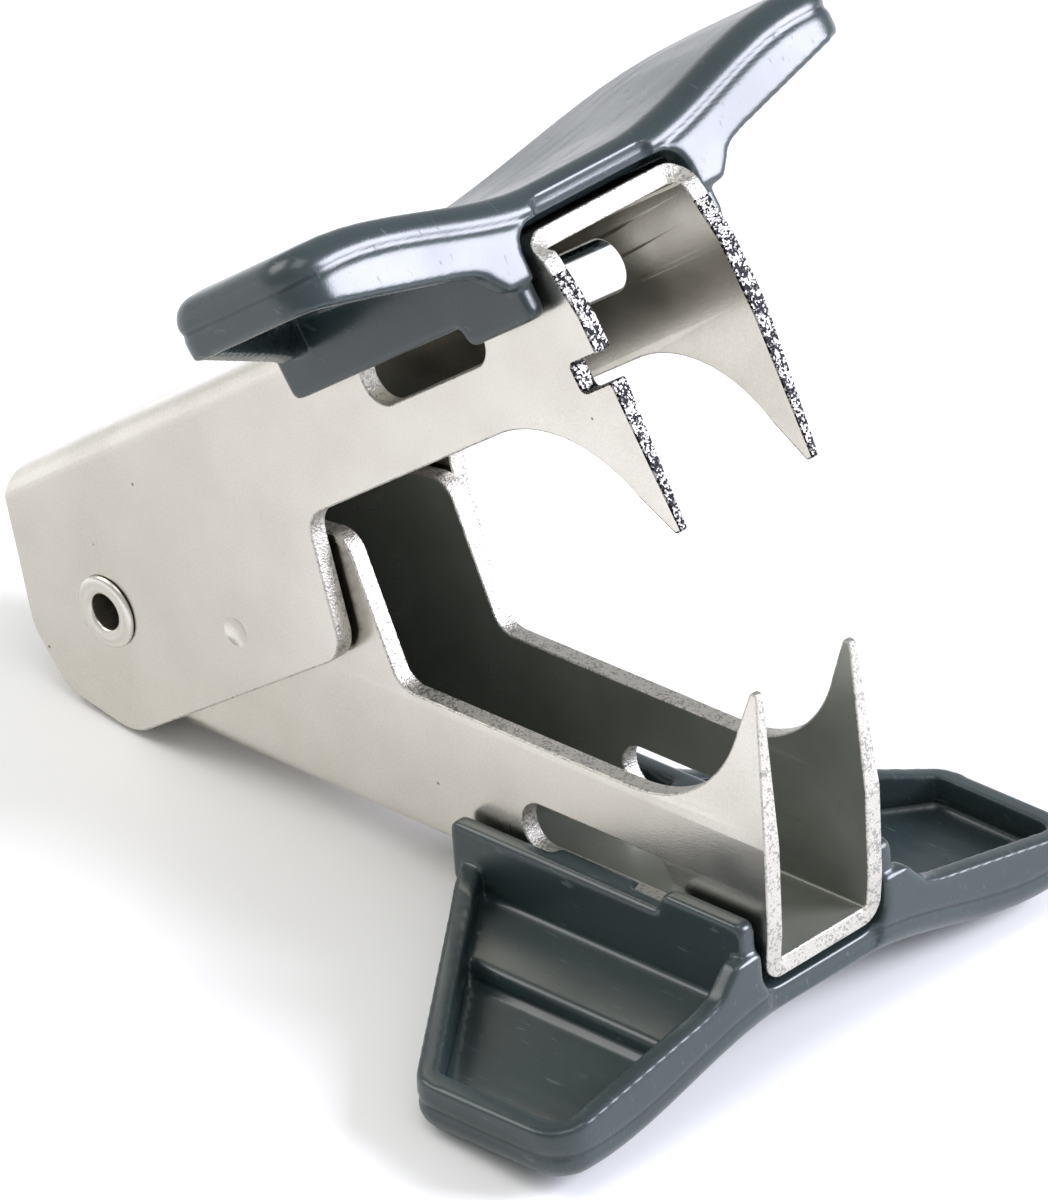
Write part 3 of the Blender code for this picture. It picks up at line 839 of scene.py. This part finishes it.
# %% [markdown]
# ## Grips
# A moulded part has no truly sharp corner, inside or out: the plastic would not fill it. The
# grip's CAD solid has the right walls, feet and legs but knife edges. Laying it flat, wrapping it
# in a fine even skin and relaxing the skin rounds every edge by the few tenths of a millimetre
# that a mould gives, and then it goes back into place.

# %% Soft corners
OCTREE_DEPTH, OCTREE_FILL, GRIP_LENGTH = 8, 0.90, 42.4
SKIN_STEP = GRIP_LENGTH / OCTREE_FILL / 2 ** OCTREE_DEPTH
RELAX_ROUNDS = 18
DOUBLED = 0.002


def merged_copy(node, name):
    """A CAD node's shape as a new mesh with its doubled points merged."""
    shape = bmesh.new()
    shape.from_mesh(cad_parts[node].data)
    bmesh.ops.remove_doubles(shape, verts=shape.verts, dist=DOUBLED * MM)
    bmesh.ops.dissolve_degenerate(shape, edges=shape.edges, dist=DOUBLED * MM)
    mesh = bpy.data.meshes.new(name)
    shape.to_mesh(mesh)
    shape.free()
    return show(name, mesh)


def soft_cornered(node, name, jaw):
    """A grip with mould-soft corners, lying flat in its jaw's frame."""
    grip = merged_copy(node, name)
    grip.data.transform(turned_by(jaw["turn"]).inverted())
    wrap = grip.modifiers.new("wrap", "REMESH")
    wrap.mode, wrap.octree_depth, wrap.scale = "SHARP", OCTREE_DEPTH, OCTREE_FILL
    wrap.use_remove_disconnected, wrap.use_smooth_shade = False, True
    relax = grip.modifiers.new("relax", "SMOOTH")
    relax.factor, relax.iterations = 0.5, RELAX_ROUNDS
    return applied(grip)


grips = [(soft_cornered("upper_grip", "upper_finger_grip", UPPER), UPPER, "upper", upper_plastic),
         (soft_cornered("lower_grip", "lower_finger_grip", LOWER), LOWER, "lower", lower_plastic)]
for grip, *_ in grips:
    print(grip.name, len(grip.data.polygons), "faces")

# %% [markdown]
# ## What the plastic's finish needs to know
# Two numbers are stored on every point: how far it lies from the parting line, in millimetres,
# and how sharply the surface bends there. The line runs a fixed distance below the saddle-shaped
# top, and only round the outside, and it is pressed into the mesh as a shallow groove. The bend
# is the height of a point above the average of its neighbours.

# %% Parting line and corner wear, as attributes
SADDLE_MIDDLE, SADDLE_END, SADDLE_FLAT, SADDLE_RUN = 2.35, 5.1, 3, 15
PARTING_DEPTH, FAR_OFF, FACES_AWAY = 1.75, 9.0, -0.5
GROOVE_DEEP, GROOVE_WIDE = 0.10, 0.24
WEAR_FROM, WEAR_OVER, MOST_WEAR = 0.10, 0.22, 0.55


def saddle_top(y):
    """Height of a grip's top above its web, for an array of distances from the middle."""
    t = np.clip((np.abs(y) - SADDLE_FLAT) / SADDLE_RUN, 0, 1)
    return SADDLE_MIDDLE + (SADDLE_END - SADDLE_MIDDLE) * t * t * (3 - 2 * t)


def mark(mesh, jaw):
    """Stores `parting` and `corner` on a grip's points, presses the groove, returns the bend."""
    count = len(mesh.vertices)
    spots, normals = np.empty(count * 3), np.empty(count * 3)
    mesh.vertices.foreach_get("co", spots)
    mesh.vertices.foreach_get("normal", normals)
    spots, normals = spots.reshape(-1, 3) / MM, normals.reshape(-1, 3)
    ends = np.empty(len(mesh.edges) * 2, dtype=np.int64)
    mesh.edges.foreach_get("vertices", ends)
    a, b = ends.reshape(-1, 2).T
    total, near = np.zeros((count, 3)), np.zeros(count)
    for here, there in ((a, b), (b, a)):
        np.add.at(total, here, spots[there])
        np.add.at(near, here, 1)
    bend = np.einsum("ij,ij->i", spots - total / near[:, None], normals) / SKIN_STEP
    for _ in range(2):
        spread = np.zeros(count)
        np.add.at(spread, a, bend[b])
        np.add.at(spread, b, bend[a])
        bend = 0.5 * bend + 0.5 * spread / near
    parting = jaw["up"] * spots[:, 2] - jaw["web"] - (saddle_top(spots[:, 1]) - PARTING_DEPTH)
    parting[jaw["up"] * normals[:, 2] < FACES_AWAY] = FAR_OFF
    groove = GROOVE_DEEP * np.exp(-(parting / GROOVE_WIDE) ** 2)
    mesh.vertices.foreach_set("co", ((spots - normals * groove[:, None]) * MM).ravel())
    wear = np.clip((bend - WEAR_FROM) / WEAR_OVER, 0, 1) * MOST_WEAR
    for label, values in (("parting", parting), ("corner", wear)):
        stored = mesh.attributes.new(label, "FLOAT", "POINT")
        stored.data.foreach_set("value", values.astype(np.float32))
    return bend


for grip, jaw, body, plastic in grips:
    bend = mark(grip.data, jaw)
    grip.data.transform(turned_by(jaw["turn"]))
    grip.data.materials.clear()
    grip.data.materials.append(plastic)
    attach(grip, body)
    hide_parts(body + "_grip")
    print(grip.name, "bend from", round(bend.min(), 2), "to", round(bend.max(), 2))
